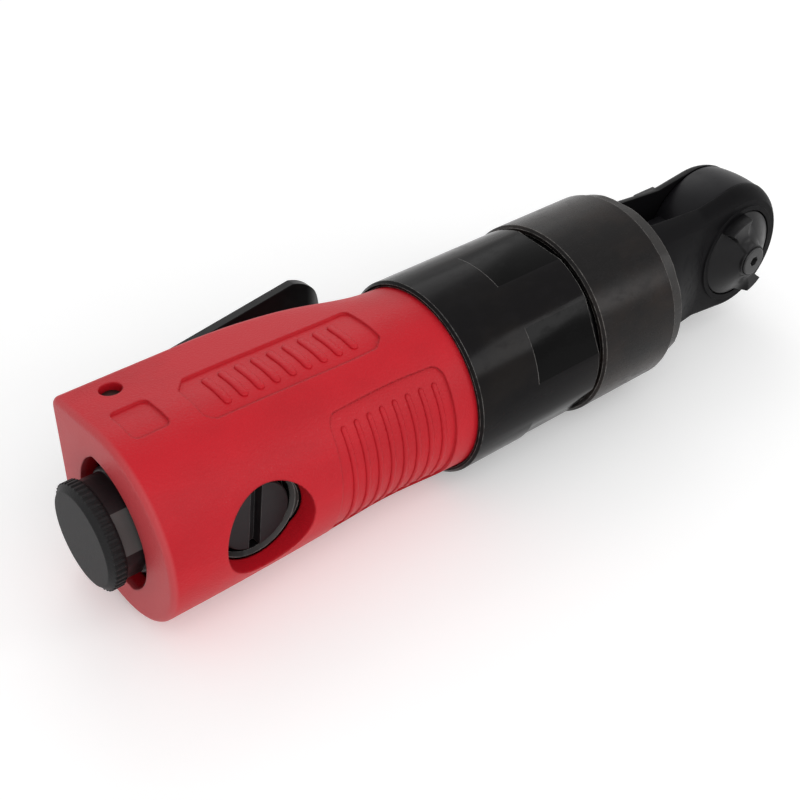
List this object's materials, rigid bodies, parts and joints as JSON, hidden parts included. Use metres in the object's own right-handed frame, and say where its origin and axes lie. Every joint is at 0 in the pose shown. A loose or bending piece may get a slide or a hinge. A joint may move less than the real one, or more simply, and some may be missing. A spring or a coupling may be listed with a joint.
{
  "type": "air ratchet",
  "caption": "Short air ratchet with a square drive, a moulded red handle cover, a paddle throttle lever, a steel motor barrel with a clamp nut, and a forked head.",
  "frame": {"origin": "on the tool's axis, where the inlet's thread starts", "axes": "+X from the air inlet to the ratchet head, +Y towards the lever and the square drive, +Z along the lever's pin"},
  "size_m": [0.1608, 0.0494, 0.0378],
  "materials": {
    "red_plastic": "moulded, fine sparkle grain",
    "barrel_steel": "black oxide, satin",
    "nut_steel": "black oxide, satin",
    "head_steel": "black phosphate, matt",
    "yoke_steel": "black phosphate, smooth",
    "lever_paint": "black, smooth",
    "cap_plastic": "matt",
    "inlet_steel": "black oxide, one frosted flat",
    "plug_steel": "dark grey, matt",
    "knob_steel": "black phosphate, matt",
    "screw_steel": "dark, satin",
    "anvil_steel": "black phosphate",
    "pin_steel": "ground",
    "bearing_steel": "polished",
    "gear_steel": "hardened, satin",
    "spring_steel": "oiled",
    "cast_metal": "machined",
    "vane_composite": "laminated",
    "bronze": "sintered",
    "screen_brass": "pressed",
    "seal_rubber": "matt"
  },
  "bodies": {
    "housing": {"motor_housing": "barrel_steel", "handle_cover": "red_plastic", "inlet_bushing": "inlet_steel", "inlet_screen": "screen_brass", "valve_seat": "bronze", "valve_plug": "plug_steel", "plug_ring": "seal_rubber", "valve_spring": "spring_steel", "lever_pin": "pin_steel", "rear_end_plate": "cast_metal", "rear_bearing_outer": "bearing_steel", "rear_bearing_balls": "bearing_steel", "motor_cylinder": "cast_metal", "front_end_plate": "cast_metal", "front_bearing_outer": "bearing_steel", "front_bearing_balls": "bearing_steel", "ring_gear": "gear_steel", "thrust_washer": "spring_steel", "clamp_nut": "nut_steel", "ratchet_head": "head_steel", "crank_bushing": "bronze", "retainer_plate": "gear_steel", "retaining_ring": "spring_steel"},
    "inlet_cap": {"dust_plug": "cap_plastic"},
    "lever": {"throttle_lever": "lever_paint"},
    "valve": {"throttle_valve": "seal_rubber", "valve_stem": "pin_steel"},
    "motor_rotor": {"rotor": "gear_steel", "vane_1": "vane_composite", "vane_2": "vane_composite", "vane_3": "vane_composite", "vane_4": "vane_composite", "vane_5": "vane_composite", "rear_bearing_inner": "bearing_steel", "front_bearing_inner": "bearing_steel"},
    "gear_carrier": {"carrier": "gear_steel", "planet_pin_1": "pin_steel", "planet_pin_2": "pin_steel", "planet_pin_3": "pin_steel", "drive_bushing": "bronze"},
    "planet_a": {"planet_gear_1": "gear_steel"},
    "planet_b": {"planet_gear_2": "gear_steel"},
    "planet_c": {"planet_gear_3": "gear_steel"},
    "yoke": {"ratchet_yoke": "yoke_steel"},
    "drive": {"anvil": "anvil_steel", "detent_ball": "bearing_steel", "pawl_pin": "pin_steel"},
    "selector": {"reverse_knob": "knob_steel", "selector_spindle": "gear_steel", "knob_screw": "screw_steel", "selector_plunger": "gear_steel", "plunger_spring": "spring_steel"},
    "ratchet_pawl": {"pawl": "gear_steel"}
  },
  "joints": [
    {"name": "lever_press", "type": "hinge", "parent": "housing", "child": "lever", "pos_m": [0.0109, 0.0107, 0], "axis": [0, 0, 1], "range_deg": [-7, 0], "stiffness_Nm_per_rad": 0.6, "springref_deg": 4.58},
    {"name": "valve_press", "type": "slide", "parent": "housing", "child": "valve", "axis": [0, 1, 0], "range_m": [-0.0013, 0], "deforming": ["valve_spring"]},
    {"name": "dust_plug_pull", "type": "slide", "parent": "housing", "child": "inlet_cap", "axis": [-1, 0, 0], "range_m": [0, 0.06]},
    {"name": "rotor_spin", "type": "hinge", "parent": "housing", "child": "motor_rotor", "pos_m": [0.081, 0, 0], "axis": [1, 0, 0], "continuous": true},
    {"name": "carrier_spin", "type": "hinge", "parent": "housing", "child": "gear_carrier", "pos_m": [0.106, 0, 0], "axis": [1, 0, 0], "continuous": true},
    {"name": "planet_a_spin", "type": "hinge", "parent": "gear_carrier", "child": "planet_a", "pos_m": [0.1016, 0.0081, 0], "axis": [1, 0, 0], "continuous": true},
    {"name": "planet_b_spin", "type": "hinge", "parent": "gear_carrier", "child": "planet_b", "pos_m": [0.1016, -0.00405, 0.00701], "axis": [1, 0, 0], "continuous": true},
    {"name": "planet_c_spin", "type": "hinge", "parent": "gear_carrier", "child": "planet_c", "pos_m": [0.1016, -0.00405, -0.00701], "axis": [1, 0, 0], "continuous": true},
    {"name": "yoke_swing", "type": "hinge", "parent": "housing", "child": "yoke", "pos_m": [0.144, 0, 0], "axis": [0, 1, 0], "range_deg": [-2.5, 2.5]},
    {"name": "anvil_spin", "type": "hinge", "parent": "housing", "child": "drive", "pos_m": [0.144, 0, 0], "axis": [0, 1, 0], "continuous": true},
    {"name": "reverse_flip", "type": "hinge", "parent": "drive", "child": "selector", "pos_m": [0.144, 0, 0], "axis": [0, 1, 0], "range_deg": [0, 56]},
    {"name": "pawl_tilt", "type": "hinge", "parent": "drive", "child": "ratchet_pawl", "pos_m": [0.1498, 0, 0], "axis": [0, 1, 0], "range_deg": [-8, 0]}
  ],
  "couplings": [
    {"joint": "valve_press", "follows": "lever_press", "m_per_rad": 0.0105},
    {"joint": "carrier_spin", "follows": "rotor_spin", "ratio": 0.22222},
    {"joint": "planet_a_spin", "follows": "rotor_spin", "ratio": -0.62222},
    {"joint": "planet_b_spin", "follows": "rotor_spin", "ratio": -0.62222},
    {"joint": "planet_c_spin", "follows": "rotor_spin", "ratio": -0.62222},
    {"joint": "pawl_tilt", "follows": "reverse_flip", "ratio": -0.14286}
  ]
}
